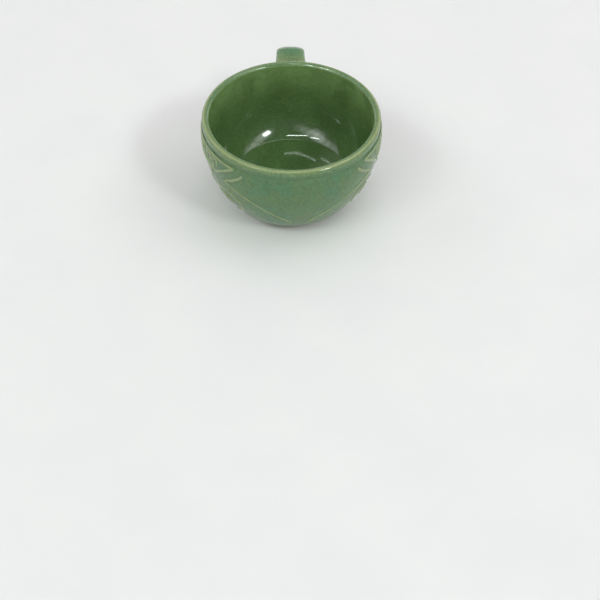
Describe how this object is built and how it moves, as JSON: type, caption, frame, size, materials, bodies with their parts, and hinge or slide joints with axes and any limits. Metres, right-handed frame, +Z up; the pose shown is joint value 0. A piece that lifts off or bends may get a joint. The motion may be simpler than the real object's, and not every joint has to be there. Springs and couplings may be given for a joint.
{
  "type": "teacup",
  "caption": "Wide glazed stoneware teacup with a rounded lip, a low bare foot ring, a squared strap handle and raised slip lines on both sides.",
  "frame": {"origin": "centre of the foot ring's standing face, on the surface that the cup stands on", "axes": "+Z up along the bowl's axis and out of the mouth, +Y towards the handle, +X to the right as seen from the front"},
  "size_m": [0.1164, 0.1465, 0.067],
  "materials": {
    "glaze": "glossy",
    "slip_line": "glossy",
    "bare_clay": "matt"
  },
  "bodies": {
    "root": {"bowl": "glaze", "foot_ring": "bare_clay", "handle": "glaze", "handle_upper_joint": "glaze", "handle_lower_joint": "glaze", "left_panel_frame": "slip_line", "left_front_key": "slip_line", "left_centre_key": "slip_line", "left_back_key": "slip_line", "left_front_hook": "slip_line", "left_front_sweep": "slip_line", "left_front_curl": "slip_line", "left_front_vein": "slip_line", "left_back_curl": "slip_line", "left_back_sweep": "slip_line", "left_back_vein": "slip_line", "right_panel_frame": "slip_line", "right_front_key": "slip_line", "right_centre_key": "slip_line", "right_back_key": "slip_line", "right_front_hook": "slip_line", "right_front_sweep": "slip_line", "right_front_curl": "slip_line", "right_front_vein": "slip_line", "right_back_curl": "slip_line", "right_back_sweep": "slip_line", "right_back_vein": "slip_line"}
  },
  "joints": []
}
